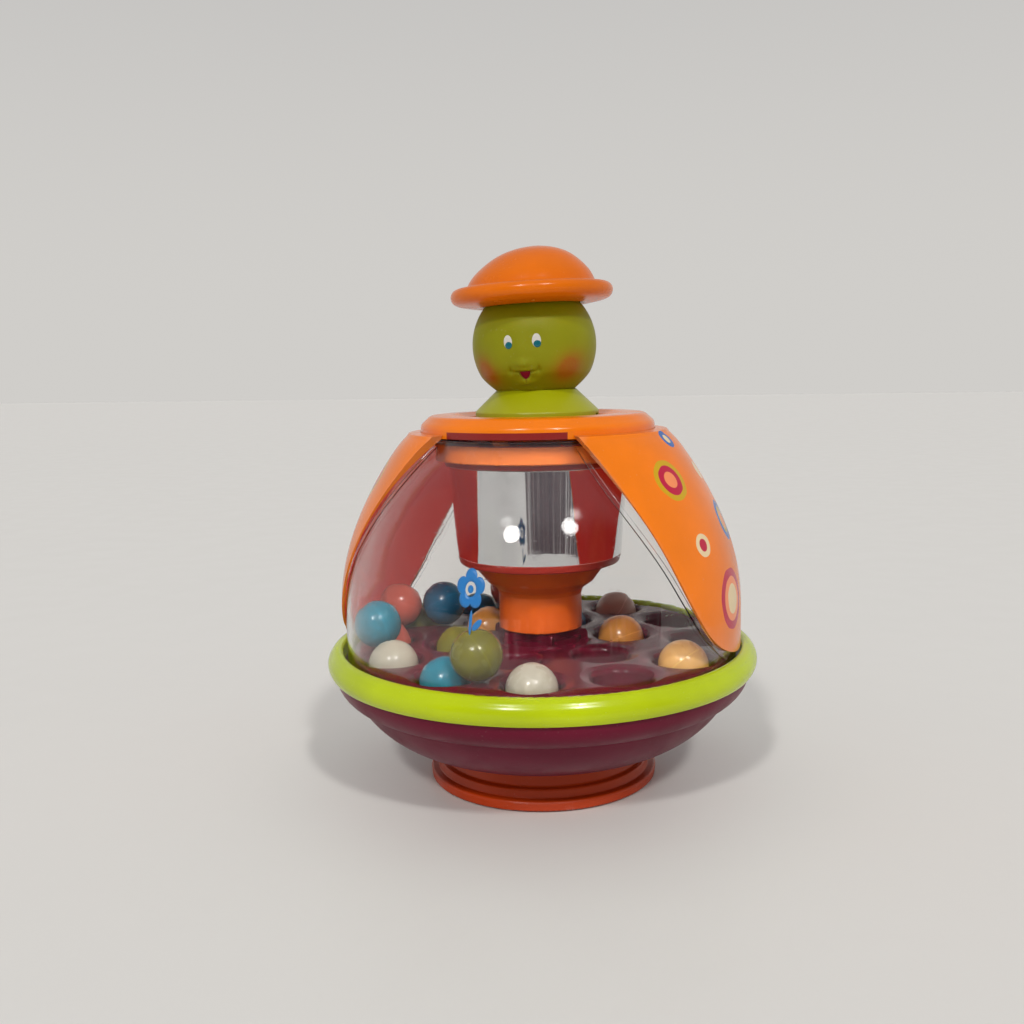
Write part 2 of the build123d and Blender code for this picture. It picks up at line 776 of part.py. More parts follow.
with BuildPart() as bearing_plate:
    column(0, 0, BEARING_TOP - 2.0, BEARING_TOP, BOSS_RADIUS)
    column(0, 0, 44.5, BEARING_TOP - 2.0, 9.0)
    column(0, 0, 44.5, BEARING_TOP, 6.0, mode=Mode.SUBTRACT)
    for x, y, _ in ring_of(PLATE_SCREW_COUNT, PLATE_SCREW_CIRCLE, 26):
        column(x, y, BEARING_TOP - 2.0, BEARING_TOP, 1.2, mode=Mode.SUBTRACT)

save(bearing_plate.part, "bearing_plate")

with BuildPart() as plate_screws:
    for x, y, _ in ring_of(PLATE_SCREW_COUNT, PLATE_SCREW_CIRCLE, 26):
        column(x, y, BEARING_TOP - 3.2, BEARING_TOP - 2.0, 1.8)
        column(x, y, BEARING_TOP - 2.0, 65.5, 1.05)

save(plate_screws.part, "plate_screws")

with BuildPart() as disc_bush:
    column(0, 0, 44.5, BEARING_TOP, 5.98)
    column(0, 0, 44.5, BEARING_TOP, PIN_RADIUS + RUNNING_FIT, mode=Mode.SUBTRACT)

save(disc_bush.part, "disc_bush")

# ---- balls: (radius from the axis, angle from the front, centre height) ----

OUTER_CIRCLE = OUTER_POCKETS[1]
INNER_CIRCLE = INNER_POCKETS[1]
balls = {
    "white": [
        (OUTER_CIRCLE, -46.6, BALL_IN_POCKET),
        (OUTER_CIRCLE, 13.4, BALL_IN_POCKET),
        (OUTER_CIRCLE, 163.4, BALL_IN_POCKET),
    ],
    "light_blue": [
        (OUTER_CIRCLE, -16.6, BALL_IN_POCKET),
        (OUTER_CIRCLE, 193.4, BALL_IN_POCKET),
        (77.7, -61.6, BALL_ON_TOP),
    ],
    "dark_blue": [
        (OUTER_CIRCLE, -136.6, BALL_IN_POCKET),
        (INNER_CIRCLE, 178.4, BALL_IN_POCKET),
        (56.0, -102.5, BALL_ON_TOP),
    ],
    "coral": [
        (OUTER_CIRCLE, -76.6, BALL_IN_POCKET),
        (75.2, -92.2, BALL_ON_TOP),
        (66.0, -149.4, BALL_ON_TOP),
    ],
    "olive": [
        (OUTER_CIRCLE, -106.6, BALL_IN_POCKET),
        (INNER_CIRCLE, -61.6, BALL_IN_POCKET),
        (77.7, -3.5, BALL_ON_TOP),
    ],
    "orange": [
        (OUTER_CIRCLE, 73.4, BALL_IN_POCKET),
        (INNER_CIRCLE, 118.4, BALL_IN_POCKET),
        (INNER_CIRCLE, -121.6, BALL_IN_POCKET),
    ],
}

for colour, places in balls.items():
    for number, place in enumerate(places, start=1):
        with BuildPart() as ball:
            with Locations(around(*place)):
                Sphere(BALL_RADIUS)
        save(ball.part, f"ball_{colour}_{number}")
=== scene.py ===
"""Looks for the push-and-spin ball popper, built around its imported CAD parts."""

import json
import math
import random

import bmesh
import bpy
from mathutils import Matrix, Vector


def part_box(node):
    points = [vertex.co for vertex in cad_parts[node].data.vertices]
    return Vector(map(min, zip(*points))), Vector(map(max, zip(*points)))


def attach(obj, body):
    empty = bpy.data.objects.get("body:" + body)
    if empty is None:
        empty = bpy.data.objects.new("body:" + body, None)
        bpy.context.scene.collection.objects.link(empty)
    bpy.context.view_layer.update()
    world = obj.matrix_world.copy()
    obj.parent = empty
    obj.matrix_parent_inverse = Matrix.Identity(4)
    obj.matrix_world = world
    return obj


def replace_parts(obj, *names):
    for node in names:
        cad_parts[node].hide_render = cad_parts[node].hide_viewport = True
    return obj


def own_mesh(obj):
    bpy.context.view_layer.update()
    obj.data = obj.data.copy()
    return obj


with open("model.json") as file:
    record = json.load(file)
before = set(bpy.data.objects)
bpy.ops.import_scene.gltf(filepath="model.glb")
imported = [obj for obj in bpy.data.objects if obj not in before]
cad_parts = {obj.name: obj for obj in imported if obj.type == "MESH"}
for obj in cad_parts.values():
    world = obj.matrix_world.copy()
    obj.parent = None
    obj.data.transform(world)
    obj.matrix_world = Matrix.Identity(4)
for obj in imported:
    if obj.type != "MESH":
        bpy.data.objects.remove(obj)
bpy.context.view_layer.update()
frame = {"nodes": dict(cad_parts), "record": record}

MM = 0.001
nodes = frame["nodes"]

# ---- places worked out from the CAD parts -----------------------------------

NECK_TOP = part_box("neck_cone")[1].z
HEAD_TILT = math.radians(2.2)
HEAD_RADIUS = 28.7 * MM
HEAD_RISE = 20.4 * MM  # head centre above the top of the neck
HEAD_SINK = 0.8 * MM  # how far the soft head is squeezed into the neck, so the lean leaves no gap
BRIM_RISE = 43.7 * MM  # middle of the hat's brim above the top of the neck
FACE_TURN = math.radians(5.6)  # the face looks a little to the +X side of the front
SPRING_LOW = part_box("return_spring")[0].z
SPRING_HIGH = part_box("return_spring")[1].z
TILTED = Matrix.Translation((0, 0, NECK_TOP)) @ Matrix.Rotation(-HEAD_TILT, 4, "Y")


def around(radius, degrees, height):
    """A point at an angle from the front (-Y), turning towards +X."""
    turn = math.radians(degrees)
    return Vector((radius * math.sin(turn), -radius * math.cos(turn), height))


# Painted shade: the collar is painted dark red up to this height, standing in for the shaded gap under it
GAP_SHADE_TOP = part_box("top_collar")[0].z + 5.4 * MM
WINDOW_LEAN = math.tan(math.radians(30))  # the windows end 30 degrees either side of front and back
# The mirror cup's metal skin starts and ends a little inside its edges; beyond it the cup is painted dark red
# as painted shade
MIRROR_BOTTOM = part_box("mirror_cup")[0].z + 4.7 * MM
MIRROR_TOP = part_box("mirror_cup")[1].z - 2.9 * MM
MIRROR_BLUR = 0.2 * MM


# ---- shader helpers -----------------------------------------------------------


def new_material(name, **sockets):
    """A material with one Principled shader whose plain sockets are set by name."""
    material = bpy.data.materials.new(name)
    material.use_nodes = True
    surface = material.node_tree.nodes["Principled BSDF"]
    for socket, value in sockets.items():
        surface.inputs[socket.replace("_", " ")].default_value = value
    return material, material.node_tree, surface


def node(tree, kind, inputs=None, **settings):
    """Add a node, set it up, and link or fill its inputs."""
    made = tree.nodes.new("ShaderNode" + kind)
    for name, value in settings.items():
        setattr(made, name, value)
    for name, value in (inputs or {}).items():
        if isinstance(value, bpy.types.NodeSocket):
            tree.links.new(value, made.inputs[name])
        else:
            made.inputs[name].default_value = value
    return made


def place(tree):
    """The surface's own place in the part's frame."""
    return node(tree, "TexCoord").outputs["Object"]


def stretched(tree, at, scale, turn=(0, 0, 0)):
    """Coordinates scaled differently along each axis."""
    return node(tree, "Mapping", {"Vector": at, "Scale": scale, "Rotation": turn}).outputs[0]


def noise(tree, at, scale, detail=3.0, roughness=0.5):
    """Grey noise from 0 to 1 with features of about 1/scale metres."""
    settings = {"Vector": at, "Scale": scale, "Detail": detail, "Roughness": roughness}
    return node(tree, "TexNoise", settings).outputs[0]


def fade(tree, value, start, end, low=0.0, high=1.0):
    """Smoothly from low to high as value goes from start to end."""
    limits = {"Value": value, "From Min": start, "From Max": end, "To Min": low, "To Max": high}
    return node(tree, "MapRange", limits, interpolation_type="SMOOTHSTEP").outputs[0]


def maths(tree, operation, first, second):
    """One arithmetic step."""
    return node(tree, "Math", {0: first, 1: second}, operation=operation).outputs[0]


def blended(tree, factor, first, second, way="MIX"):
    """Mix two colours."""
    made = node(tree, "Mix", {0: factor, 6: first, 7: second}, data_type="RGBA", blend_type=way)
    return made.outputs[2]


def shade(colour, factor):
    """A colour made lighter or darker, with its alpha."""
    return (*[min(channel * factor, 1.0) for channel in colour[:3]], 1.0)


def linked(tree, value, surface, socket):
    """Feed a value into one of the shader's sockets."""
    tree.links.new(value, surface.inputs[socket])


def bumped(tree, surface, height, strength, distance):
    """Give the surface a bump map."""
    bump = node(tree, "Bump", {"Height": height, "Strength": strength, "Distance": distance})
    linked(tree, bump.outputs[0], surface, "Normal")


def hairlines(tree, at, turn, scale=26.0):
    """Thin scratches that run one way, from 0 to 1."""
    lines = noise(tree, stretched(tree, at, (scale, scale * 60, scale * 60), turn), 1.0, 2.0)
    return fade(tree, lines, 0.70, 0.78)


def finish_surface(tree, surface, colour, rough, at, wear=0.12, peel=0.02, grain=0.02, dust=0.15):
    """Colour drift, smudges, scratches, dust and bump shared by the moulded pieces."""
    drift = noise(tree, at, 24.0, 4.0)
    tinted = blended(tree, fade(tree, drift, 0.25, 0.75, 0.0, 0.16), colour, (0, 0, 0, 1), "MULTIPLY")
    edges = fade(tree, node(tree, "NewGeometry").outputs["Pointiness"], 0.52, 0.62, 0.0, wear)
    tinted = blended(tree, edges, tinted, (0.9, 0.85, 0.8, 1))
    specks = fade(tree, noise(tree, at, 1500.0, 1.0), 0.74, 0.80, 0.0, dust)
    tinted = blended(tree, specks, tinted, (0.75, 0.72, 0.68, 1))
    linked(tree, tinted, surface, "Base Color")
    marks = maths(
        tree, "MAXIMUM", hairlines(tree, at, (0.3, 0.5, 0.9)), hairlines(tree, at, (1.2, 0.2, 2.2))
    )
    smudge = fade(tree, noise(tree, at, 45.0, 5.0, 0.6), 0.35, 0.75, rough * 0.85, rough * 1.35)
    linked(tree, maths(tree, "ADD", smudge, maths(tree, "MULTIPLY", marks, 0.12)), surface, "Roughness")
    waves = maths(tree, "MULTIPLY", noise(tree, at, 130.0, 2.0), peel)
    fine = maths(tree, "MULTIPLY", noise(tree, at, 2200.0, 2.0), grain)
    scratched = maths(tree, "MULTIPLY", marks, -0.02)
    height = maths(tree, "ADD", maths(tree, "ADD", waves, fine), scratched)
    bumped(tree, surface, height, 0.6, 0.002)
    return tinted


def moulded(name, colour, rough=0.24, coat=0.25, shine=0.5, **finish):
    """Moulded plastic of one colour."""
    material, tree, surface = new_material(
        name, Coat_Weight=coat, Coat_Roughness=0.08, IOR=1.5, Specular_IOR_Level=shine
    )
    finish_surface(tree, surface, (*colour, 1.0), rough, place(tree), **finish)
    return material


def metal(name, colour, rough=0.3):
    """Plain machined or drawn metal."""
    material, tree, surface = new_material(name, Metallic=1.0)
    finish_surface(tree, surface, (*colour, 1.0), rough, place(tree), wear=0.05, dust=0.05)
    return material


# ---- materials ------------------------------------------------------------------

ORANGE = (0.93, 0.21, 0.003)
LIME = (0.50, 0.62, 0.002)


def clear_plastic():
    """The dome: clear, slightly hazed by fine handling scratches."""
    material, tree, surface = new_material(
        "clear_dome", Base_Color=(0.985, 0.98, 0.975, 1), Transmission_Weight=1.0, IOR=1.46,
        Specular_IOR_Level=0.22,
    )
    at = place(tree)
    marks = maths(
        tree, "MAXIMUM", hairlines(tree, at, (0.4, 0.2, 0.3), 20), hairlines(tree, at, (1.0, 1.4, 0.2), 18)
    )
    smudge = fade(tree, noise(tree, at, 30.0, 4.0), 0.4, 0.8, 0.015, 0.06)
    linked(tree, maths(tree, "ADD", smudge, maths(tree, "MULTIPLY", marks, 0.18)), surface, "Roughness")
    waves = maths(tree, "MULTIPLY", noise(tree, at, 40.0, 1.0), 0.05)
    bumped(tree, surface, maths(tree, "ADD", waves, maths(tree, "MULTIPLY", marks, -0.03)), 0.25, 0.001)
    return material


def mirror_metal():
    """The cup's vacuum-metallised skin, with faint smears, and dark red painted shade below and above it."""
    material, tree, surface = new_material("mirror_chrome", Specular_IOR_Level=0.4)
    at = place(tree)
    smear = fade(tree, noise(tree, stretched(tree, at, (60, 60, 12)), 1.0, 5.0, 0.65), 0.45, 0.8, 0.015, 0.12)
    marks = hairlines(tree, at, (0.1, 1.5, 0.2), 24)
    ripple = maths(tree, "MULTIPLY", noise(tree, stretched(tree, at, (70, 70, 16)), 1.0, 2.0), 0.12)
    bumped(tree, surface, ripple, 0.25, 0.002)
    clouds = fade(tree, noise(tree, at, 90.0, 4.0), 0.5, 0.8, 0.0, 0.25)
    tint = blended(tree, clouds, (0.78, 0.79, 0.80, 1), (0.50, 0.50, 0.51, 1))
    height = node(tree, "SeparateXYZ", {0: at}).outputs[2]
    # Painted shade: dark red bands below and above the metal skin
    low = fade(tree, height, MIRROR_BOTTOM - MIRROR_BLUR, MIRROR_BOTTOM + MIRROR_BLUR, 1.0, 0.0)
    high = fade(tree, height, MIRROR_TOP - MIRROR_BLUR, MIRROR_TOP + MIRROR_BLUR)
    painted_shade_bands = maths(tree, "MAXIMUM", low, high)
    linked(tree, blended(tree, painted_shade_bands, tint, (0.36, 0.03, 0.02, 1)), surface, "Base Color")
    linked(tree, maths(tree, "SUBTRACT", 1.0, painted_shade_bands), surface, "Metallic")
    gloss = maths(tree, "ADD", smear, maths(tree, "MULTIPLY", marks, 0.2))
    linked(tree, maths(tree, "MAXIMUM", gloss, maths(tree, "MULTIPLY", painted_shade_bands, 0.35)), surface, "Roughness")
    return material


# Printed spots: (angle from the front, height, then (diameter, colour) from the outside in)
BLUE = (0.012, 0.12, 0.42, 1)
CREAM = (0.80, 0.62, 0.36, 1)
YELLOW_GREEN = (0.60, 0.36, 0.004, 1)
MAGENTA = (0.50, 0.006, 0.045, 1)
PEACH = (0.90, 0.27, 0.10, 1)
OLIVE = (0.52, 0.38, 0.07, 1)
SPOT_BLUR = 0.12 * MM
OUTSIDE = 0.12  # metres from the axis, clear of the whole toy
SPOTS = [
    (81.0, 162.2, [(9.6, BLUE), (4.6, CREAM)]),
    (65.6, 146.0, [(19.5, YELLOW_GREEN), (14.4, MAGENTA), (8.0, PEACH)]),
    (94.0, 147.0, [(9.0, CREAM)]),
    (92.6, 124.6, [(19.0, BLUE), (12.4, OLIVE), (8.4, PEACH)]),
    (68.8, 118.6, [(10.6, CREAM), (6.0, MAGENTA)]),
    (81.0, 92.4, [(27.0, MAGENTA), (19.5, PEACH), (13.0, CREAM)]),
]


def printed_wing():
    """Orange wings, both with the same printed rings, mirrored left to right."""
    material, tree, surface = new_material(
        "wing_plastic", Coat_Weight=0.08, Coat_Roughness=0.05, IOR=1.5, Specular_IOR_Level=0.25
    )
    at = place(tree)
    tinted = finish_surface(tree, surface, (*ORANGE, 1.0), 0.2, at, wear=0.06, peel=0.012)
    parts = node(tree, "SeparateXYZ", {0: at})
    side = maths(tree, "ABSOLUTE", parts.outputs[0], 0.0)
    folded = node(tree, "CombineXYZ", {0: side, 1: parts.outputs[1], 2: parts.outputs[2]}).outputs[0]
    wobble = maths(tree, "MULTIPLY", maths(tree, "SUBTRACT", noise(tree, folded, 110.0, 1.0), 0.5), 0.0016)
    colour = tinted
    for degrees, height, rings in SPOTS:
        start = around(OUTSIDE, degrees, height * MM)
        found = nodes["wing_right"].ray_cast(start, Vector((-start.x, -start.y, 0)).normalized())
        centre = tuple(found[1])
        gap = node(tree, "VectorMath", {0: folded, 1: centre}, operation="DISTANCE").outputs["Value"]
        gap = maths(tree, "ADD", gap, wobble)
        for diameter, ink in rings:
            radius = diameter / 2 * MM
            inside = fade(tree, gap, radius - SPOT_BLUR, radius + SPOT_BLUR, 1.0, 0.0)
            colour = blended(tree, inside, colour, ink)
    linked(tree, colour, surface, "Base Color")
    return material


def ball_plastic(name, colour, centre, axis):
    """A glossy ball with a faint moulding seam round the plane through its centre."""
    material, tree, surface = new_material(
        name, Coat_Weight=0.15, Coat_Roughness=0.06, IOR=1.5, Specular_IOR_Level=0.4
    )
    at = place(tree)
    tinted = finish_surface(tree, surface, (*colour, 1.0), 0.22, at, wear=0.0, peel=0.01, grain=0.01)
    offset = node(tree, "VectorMath", {0: at, 1: tuple(centre)}, operation="SUBTRACT").outputs[0]
    across = node(tree, "VectorMath", {0: offset, 1: tuple(axis)}, operation="DOT_PRODUCT").outputs["Value"]
    seam = fade(tree, maths(tree, "ABSOLUTE", across, 0.0), 0.00012, 0.00028, 0.35, 0.0)
    linked(tree, blended(tree, seam, tinted, shade(colour, 1.9)), surface, "Base Color")
    return material


def soft_vinyl():
    """The head's matt green skin, with blushed cheeks and a painted mouth."""
    material, tree, surface = new_material(
        "head_vinyl", Subsurface_Weight=0.08, Subsurface_Scale=0.003, IOR=1.45, Specular_IOR_Level=0.25
    )
    at = place(tree)
    tinted = finish_surface(
        tree, surface, (0.27, 0.275, 0.001, 1), 0.5, at, wear=0.03, peel=0.02, grain=0.05, dust=0.08
    )
    blush = node(tree, "Attribute", attribute_name="blush").outputs["Fac"]
    mottled = maths(tree, "MULTIPLY", blush, fade(tree, noise(tree, at, 900.0, 2.0), 0.3, 0.7, 0.85, 1.0))
    colour = blended(tree, mottled, tinted, (0.37, 0.07, 0.004, 1))
    mouth = node(tree, "Attribute", attribute_name="mouth").outputs["Fac"]
    colour = blended(tree, fade(tree, mouth, 0.35, 0.6), colour, (0.33, 0.004, 0.03, 1))
    linked(tree, colour, surface, "Base Color")
    return material


def lining_with_painted_glow():
    """The wings' red backs, with a painted glow: a weak even emission stands in for light coming through the
    wings.
    """
    material, tree, surface = new_material(
        # Painted glow: this emission stands in for light shining through the wings
        "lining_red", Specular_IOR_Level=0.3, Emission_Color=(0.85, 0.035, 0.022, 1), Emission_Strength=0.28
    )
    finish_surface(tree, surface, (0.72, 0.06, 0.045, 1), 0.4, place(tree), wear=0.0, dust=0.1)
    return material


def ring_with_painted_shade_top():
    """The ceiling ring: orange, with its upward faces painted dark red as painted shade."""
    material, tree, surface = new_material("ceiling_plastic", Coat_Weight=0.1, Coat_Roughness=0.1, IOR=1.5)
    at = place(tree)
    tinted = finish_surface(tree, surface, (0.86, 0.20, 0.03, 1), 0.3, at, wear=0.03)
    facing = node(tree, "SeparateXYZ", {0: node(tree, "NewGeometry").outputs["Normal"]}).outputs[2]
    # Painted shade: faces that point up are painted dark red
    top = fade(tree, facing, 0.6, 0.8)
    linked(tree, blended(tree, top, tinted, (0.50, 0.030, 0.026, 1)), surface, "Base Color")
    return material


def collar_with_painted_gap_shade():
    """The collar: orange, with its lower lip across both windows painted dark red: painted shade of the gap
    below it.
    """
    material, tree, surface = new_material("collar_plastic", Coat_Weight=0.1, IOR=1.5, Specular_IOR_Level=0.3)
    at = place(tree)
    tinted = finish_surface(tree, surface, (*ORANGE, 1.0), 0.2, at, wear=0.02)
    parts = node(tree, "SeparateXYZ", {0: at})
    # Painted shade: a dark red band low on the collar, inside both windows
    low = fade(tree, parts.outputs[2], GAP_SHADE_TOP - 0.1 * MM, GAP_SHADE_TOP + 0.1 * MM, 1.0, 0.0)
    lean = maths(tree, "DIVIDE", parts.outputs[0], parts.outputs[1])
    window = maths(tree, "LESS_THAN", maths(tree, "ABSOLUTE", lean, 0.0), WINDOW_LEAN)
    colour = blended(tree, maths(tree, "MULTIPLY", low, window), tinted, (0.26, 0.016, 0.013, 1))
    linked(tree, colour, surface, "Base Color")
    return material


def rubber():
    """The grip ring's black rubber."""
    material, tree, surface = new_material("grip_rubber", Specular_IOR_Level=0.3)
    finish_surface(tree, surface, (0.018, 0.018, 0.018, 1), 0.75, place(tree), wear=0.1, grain=0.08)
    return material


wing_material = printed_wing()
slot_material = {
    "foot_plastic": moulded("foot_plastic", (0.50, 0.045, 0.003), 0.38, 0.0, 0.3),
    "grip_rubber": rubber(),
    "screw_steel": metal("screw_steel", (0.55, 0.55, 0.57), 0.35),
    "bowl_plastic": moulded("bowl_plastic", (0.15, 0.005, 0.026), 0.36, 0.0, 0.18, wear=0.02),
    "rim_plastic": moulded("rim_plastic", LIME, 0.2, 0.1, 0.35, wear=0.03),
    "clear_dome": clear_plastic(),
    "wing_plastic": wing_material,
    "lining_red": lining_with_painted_glow(),
    "collar_plastic": collar_with_painted_gap_shade(),
    "mirror_chrome": mirror_metal(),
    "funnel_plastic": moulded("funnel_plastic", (0.74, 0.12, 0.008), 0.34, 0.1, 0.4),
    "sleeve_red": moulded("sleeve_red", (0.25, 0.012, 0.01), 0.35, 0.1),
    "neck_vinyl": moulded("neck_vinyl", (0.36, 0.38, 0.001), 0.36, 0.1, 0.4, wear=0.04),
    "inner_plastic": moulded("inner_plastic", (0.62, 0.61, 0.57), 0.4, 0.0),
    "spring_steel": metal("spring_steel", (0.5, 0.5, 0.52), 0.25),
    "head_vinyl": soft_vinyl(),
    "hat_plastic": moulded("hat_plastic", (0.80, 0.165, 0.002), 0.22, 0.06, 0.2, wear=0.0, dust=0.08),
    "pin_steel": metal("pin_steel", (0.6, 0.6, 0.62), 0.2),
    "rod_metal": metal("rod_metal", (0.62, 0.62, 0.64), 0.3),
    "disc_plastic": moulded("disc_plastic", (0.085, 0.002, 0.012), 0.2, 0.05, 0.2, wear=0.0),
    "bush_brass": metal("bush_brass", (0.65, 0.45, 0.14), 0.3),
}
slot_of = {row["node"]: row["material_slot"] for row in frame["record"]["subparts"]}

BALL_COLOURS = {
    "ball_white": (0.40, 0.365, 0.285),
    "ball_light_blue": (0.005, 0.155, 0.225),
    "ball_dark_blue": (0.005, 0.095, 0.19),
    "ball_coral": (0.54, 0.095, 0.06),
    "ball_olive": (0.135, 0.125, 0.008),
    "ball_orange": (0.62, 0.27, 0.055),
}
# Painted light: ball_white_3 is pinkish brown for the shade and red bounce light it sits in at the back;
# ball_orange_1 is a lighter, yellower orange
BALL_COLOUR_EXCEPTIONS = {"ball_white_3": (0.56, 0.34, 0.26), "ball_orange_1": (0.74, 0.40, 0.11)}


def dress(piece, material):
    """Give every material slot of a piece one material."""
    if not piece.data.materials:
        piece.data.materials.append(material)
    for slot in piece.material_slots:
        slot.material = material


for name, piece in nodes.items():
    if slot_of[name] in slot_material:
        dress(piece, slot_material[slot_of[name]])

nodes["dome"].visible_shadow = False
dress(nodes["ceiling_ring"], ring_with_painted_shade_top())
for hub_piece in ("pawl_carrier", "ratchet_ring", "bearing_plate"):
    dress(nodes[hub_piece], slot_material["disc_plastic"])

# ---- mesh helpers -----------------------------------------------------------------


def made_piece(name, points, faces, material, body, smooth=True):
    """Turn points and faces into a shown piece that rides on a body."""
    mesh = bpy.data.meshes.new(name)
    mesh.from_pydata([tuple(point) for point in points], [], faces)
    mesh.validate()
    mesh.update()
    shape = bmesh.new()
    shape.from_mesh(mesh)
    bmesh.ops.remove_doubles(shape, verts=shape.verts, dist=1e-7)
    bmesh.ops.recalc_face_normals(shape, faces=shape.faces)
    shape.to_mesh(mesh)
    shape.free()
    mesh.polygons.foreach_set("use_smooth", [smooth] * len(mesh.polygons))
    piece = bpy.data.objects.new(name, mesh)
    bpy.context.scene.collection.objects.link(piece)
    dress(piece, material)
    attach(piece, body)
    return piece


def rows_to_faces(rows, columns, closed_rows=False):
    """Quads of a grid whose columns wrap round."""
    faces = []
    for row in range(rows if closed_rows else rows - 1):
        after = (row + 1) % rows
        for column in range(columns):
            beside = (column + 1) % columns
            near, far = row * columns, after * columns
            faces.append((near + column, near + beside, far + beside, far + column))
    return faces


def subdivided(piece, levels=2):
    """Smooth a cage with a subdivision modifier."""
    modifier = piece.modifiers.new("smooth", "SUBSURF")
    modifier.levels = levels
    modifier.render_levels = levels
    return piece


# ---- balls --------------------------------------------------------------------------

BALL_RINGS = 40
BALL_SEGMENTS = 80
SEAM_HEIGHT = 0.05 * MM
seams = random.Random(7)
body_members = frame["record"]["behaviour"]["bodies"]
body_of_node = {name: body for body, members in body_members.items() for name in members}

for name in sorted(nodes):
    if not name.startswith("ball_"):
        continue
    low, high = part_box(name)
    centre = (low + high) / 2
    radius = (high.z - low.z) / 2
    axis = Vector([seams.uniform(-1, 1) for _ in range(3)]).normalized()
    turn = axis.to_track_quat("Z", "Y")
    points = []
    for ring in range(BALL_RINGS + 1):
        angle = math.pi * ring / BALL_RINGS
        ridge = SEAM_HEIGHT if ring == BALL_RINGS // 2 else 0.0
        for segment in range(BALL_SEGMENTS):
            swing = math.tau * segment / BALL_SEGMENTS
            flat = (radius + ridge) * math.sin(angle)
            local = Vector((flat * math.cos(swing), flat * math.sin(swing), radius * math.cos(angle)))
            points.append(centre + turn @ local)
    family = name.rsplit("_", 1)[0]
    material = ball_plastic(name, BALL_COLOUR_EXCEPTIONS.get(name, BALL_COLOURS[family]), centre, axis)
    faces = rows_to_faces(BALL_RINGS + 1, BALL_SEGMENTS)
    ball = made_piece(f"moulded_{name}", points, faces, material, body_of_node[name])
    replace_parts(ball, name)

# ---- head -----------------------------------------------------------------------------


def bell(value, width):
    """A smooth bump of height one."""
    return math.exp(-((value / width) ** 2))


MOUTH_TOP = -12.1
MOUTH_HEIGHT = 3.5
MOUTH_HALF_WIDTH = 2.4


def mouth_opening(x, z):
    """1 inside the small open mouth, 0 outside, with a soft edge; millimetres."""
    share = (z - (MOUTH_TOP - MOUTH_HEIGHT)) / MOUTH_HEIGHT
    if not -0.3 < share < 1.3:
        return 0.0
    half = MOUTH_HALF_WIDTH * math.sqrt(1 - (1 - min(max(share, 0.0), 1.0)) ** 2)
    edge = min(half - abs(x), (MOUTH_TOP - z) * 1.5)
    return min(max(edge / 0.5 + 0.5, 0.0), 1.0)


def face_relief(x, z):
    """How far the face stands out from the round head, in millimetres."""
    side = abs(x)
    smile = MOUTH_TOP - 0.35 + 0.012 * x * x
    relief = 1.5 * bell(x, 3.6) * bell(z + 8.8, 2.3)  # nose
    relief += 0.5 * bell(x, 2.8) * bell(z + 4.5, 4.5)  # bridge of the nose
    relief -= 0.5 * bell(side - 6.5, 3.4) * bell(z - 0.4, 4.4)  # eye hollows
    relief += 0.45 * bell(x, 13.0) * bell(z - 8.5, 5.0)  # forehead
    relief += 1.1 * bell(side - 14.0, 6.5) * bell(z + 10.5, 5.6)  # cheeks
    relief += 0.7 * bell(x, 3.4) * bell(z - MOUTH_TOP - 0.9, 1.0)  # upper lip
    relief -= 0.7 * bell(z - smile, 0.6) * bell(side, 5.0)  # smile line
    relief -= 0.75 * bell(side - 6.4, 0.8) * bell(z - smile - 0.3, 1.7)  # corners of the smile
    relief += 1.1 * bell(x, 3.8) * bell(z - MOUTH_TOP + 4.7, 1.3)  # lower lip
    relief -= 0.35 * bell(x, 5.0) * bell(z - MOUTH_TOP + 6.9, 0.8)  # crease under the lip
    relief += 0.5 * bell(x, 5.0) * bell(z - MOUTH_TOP + 8.4, 1.8)  # chin
    relief -= 1.8 * mouth_opening(x, z)
    return relief


TAPER_FROM = 13.0  # below this much under the centre the head narrows to the neck, millimetres
TAPER_OVER = 7.4
TAPER_SHARE = 0.09
CHEEK_ASIDE = 18.2  # the blush's place and size on the round head, millimetres
CHEEK_DOWN = 11.4
CHEEK_WIDTH = 5.6
CHEEK_HEIGHT = 5.4
CHEEK_LEAN = 0.45
CHEEK_STRENGTH = 1.15
CHEEK_MOST = 0.8


def head_point(direction, lift=0.0):
    """A point of the head's skin, with how blushed and how much mouth it is."""
    x, y, z = direction
    across = x * HEAD_RADIUS / MM
    up = z * HEAD_RADIUS / MM
    relief = face_relief(across, up) * min(max(-y * 2.0, 0.0), 1.0) if y < 0 else 0.0
    local = Vector(direction) * (HEAD_RADIUS + (relief + lift) * MM)
    taper = 1 - TAPER_SHARE * min(max((-local.z / MM - TAPER_FROM) / TAPER_OVER, 0.0), 1.0) ** 1.5
    local = Vector((local.x * taper, local.y * taper, max(local.z, -HEAD_RISE - HEAD_SINK)))
    lean = CHEEK_LEAN * (abs(across) - 18.0)
    blush = bell(abs(across) - CHEEK_ASIDE, CHEEK_WIDTH) * bell(up + CHEEK_DOWN - lean, CHEEK_HEIGHT)
    cheek = min(CHEEK_STRENGTH * blush, CHEEK_MOST) if y < 0 else 0.0
    mouth = mouth_opening(across, up) if y < 0 else 0.0
    turned = Matrix.Rotation(FACE_TURN, 4, "Z") @ local
    return TILTED @ (turned + Vector((0, 0, HEAD_RISE))), cheek, mouth


FACE_RINGS = 110
BACK_RINGS = 50
HEAD_SEGMENTS = 200
FACE_SPREAD = math.radians(58)


